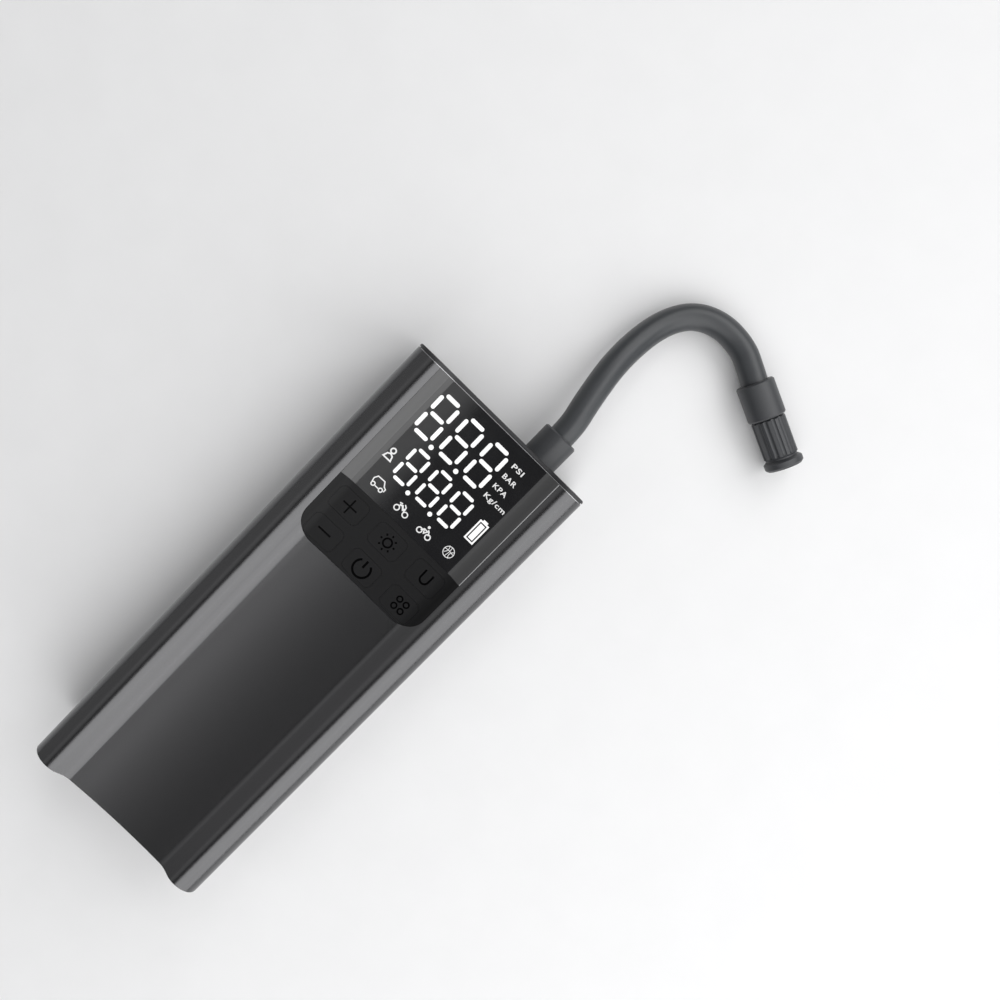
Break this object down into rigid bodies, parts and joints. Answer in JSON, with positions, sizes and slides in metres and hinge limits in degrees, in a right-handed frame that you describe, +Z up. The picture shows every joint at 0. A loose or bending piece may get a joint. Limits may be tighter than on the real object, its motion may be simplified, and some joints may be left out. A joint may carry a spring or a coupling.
{
  "type": "portable tire inflator",
  "caption": "Cordless hand-held tire inflator with a dished casing, digital display, keypad, geared piston pump and a short hose with a screw-on chuck.",
  "frame": {"origin": "middle of the body's back face, on the surface that it lies on", "axes": "+X across the body, +Y towards the hose end, +Z up out of the display face"},
  "size_m": [0.1176, 0.2642, 0.038],
  "materials": {
    "gunmetal_casing": "satin anodised gunmetal",
    "black_cap": "fine moulded texture",
    "steel_screw": "zinc plated",
    "grey_plastic": "moulded",
    "window_gloss": "gloss black",
    "display_white": "LED light box",
    "board_green": "solder mask",
    "keypad_black": "matte film",
    "key_black": "matte film",
    "switch_grey": "moulded",
    "port_steel": "nickel plated",
    "sensor_black": "moulded",
    "silicone": "soft translucent silicone",
    "lamp_clear": "clear diffuser",
    "led_yellow": "phosphor",
    "cell_wrap": "shrink sleeve",
    "nickel_tab": "spot welded nickel",
    "board_blue": "solder mask",
    "wire_red": "insulated lead",
    "can_steel": "zinc plated",
    "endbell_black": "moulded",
    "ferrite": "sintered ferrite",
    "carbon": "carbon brush",
    "core_steel": "laminations",
    "copper": "enamelled copper",
    "brass": "machined",
    "cast_alloy": "die cast",
    "gear_nylon": "nylon",
    "shaft_steel": "ground",
    "bearing_bronze": "sintered bronze",
    "piston_alloy": "turned",
    "seal_rubber": "nitrile",
    "spring_steel": "blued",
    "hose_rubber": "satin rubber",
    "collar_plastic": "satin moulded",
    "nozzle_plastic": "satin moulded"
  },
  "bodies": {
    "housing": {"casing": "gunmetal_casing", "top_cap": "black_cap", "bottom_cap": "black_cap", "end_cap_screws": "steel_screw", "inner_tray": "grey_plastic", "display_window": "window_gloss", "display_module": "display_white", "display_board": "board_green", "display_carrier": "grey_plastic", "keypad_panel": "keypad_black", "key_switches": "switch_grey", "main_board": "board_green", "usb_port": "port_steel", "pressure_sensor": "sensor_black", "sensor_tube": "silicone", "lamp_lens": "lamp_clear", "lamp_led": "led_yellow", "battery_cells": "cell_wrap", "battery_tabs": "nickel_tab", "battery_clamp": "grey_plastic", "charge_board": "board_blue", "wiring": "wire_red", "motor_can": "can_steel", "motor_endbell": "endbell_black", "motor_magnets": "ferrite", "motor_brushes": "carbon", "pump_frame": "cast_alloy", "gear_bearings": "shaft_steel", "pump_cylinder": "piston_alloy", "cylinder_head": "cast_alloy", "valve_plate": "piston_alloy", "outlet_reed": "spring_steel", "pump_screws": "steel_screw", "outlet_tube": "seal_rubber", "outlet_fitting": "brass", "hose_collar": "collar_plastic", "hose": "hose_rubber", "hose_ferrule": "collar_plastic", "core_pin": "brass"},
    "rotor": {"motor_shaft": "shaft_steel", "armature_core": "core_steel", "armature_windings": "copper", "commutator": "copper", "motor_pinion": "brass"},
    "crank": {"drive_gear": "gear_nylon", "crankshaft": "shaft_steel"},
    "rod": {"connecting_rod": "cast_alloy", "big_end_bush": "bearing_bronze", "wrist_pin": "shaft_steel"},
    "piston": {"piston": "piston_alloy", "piston_seal": "seal_rubber", "intake_flap": "spring_steel"},
    "nozzle": {"chuck_nozzle": "nozzle_plastic", "chuck_seal": "seal_rubber"},
    "key_plus": {"key_plus": "key_black"},
    "key_minus": {"key_minus": "key_black"},
    "key_light": {"key_light": "key_black"},
    "key_power": {"key_power": "key_black"},
    "key_unit": {"key_unit": "key_black"},
    "key_mode": {"key_mode": "key_black"}
  },
  "joints": [
    {"name": "rotor_spin", "type": "hinge", "parent": "housing", "child": "rotor", "pos_m": [-0.01, -0.0071, 0.016], "axis": [1, 0, 0], "continuous": true},
    {"name": "crank_spin", "type": "hinge", "parent": "housing", "child": "crank", "pos_m": [0.0075, 0.0079, 0.016], "axis": [1, 0, 0], "continuous": true},
    {"name": "rod_swing", "type": "hinge", "parent": "crank", "child": "rod", "pos_m": [0.0172, 0.0109, 0.016], "axis": [1, 0, 0], "continuous": true},
    {"name": "piston_slide", "type": "slide", "parent": "housing", "child": "piston", "axis": [0, -1, 0], "range_m": [0, 0.006]},
    {"name": "nozzle_turn", "type": "hinge", "parent": "housing", "child": "nozzle", "pos_m": [0.07105, 0.1525, 0.0066], "axis": [0.9135, -0.4067, 0], "continuous": true},
    {"name": "key_plus_press", "type": "slide", "parent": "housing", "child": "key_plus", "axis": [0, 0, -1], "range_m": [0, 0.0004], "stiffness_N_per_m": 1500},
    {"name": "key_minus_press", "type": "slide", "parent": "housing", "child": "key_minus", "axis": [0, 0, -1], "range_m": [0, 0.0004], "stiffness_N_per_m": 1500},
    {"name": "key_light_press", "type": "slide", "parent": "housing", "child": "key_light", "axis": [0, 0, -1], "range_m": [0, 0.0004], "stiffness_N_per_m": 1500},
    {"name": "key_power_press", "type": "slide", "parent": "housing", "child": "key_power", "axis": [0, 0, -1], "range_m": [0, 0.0004], "stiffness_N_per_m": 1500},
    {"name": "key_unit_press", "type": "slide", "parent": "housing", "child": "key_unit", "axis": [0, 0, -1], "range_m": [0, 0.0004], "stiffness_N_per_m": 1500},
    {"name": "key_mode_press", "type": "slide", "parent": "housing", "child": "key_mode", "axis": [0, 0, -1], "range_m": [0, 0.0004], "stiffness_N_per_m": 1500}
  ],
  "couplings": [
    {"joint": "crank_spin", "follows": "rotor_spin", "ratio": -0.25},
    {"joint": "rod_swing", "follows": "rotor_spin", "ratio": 0.25}
  ]
}
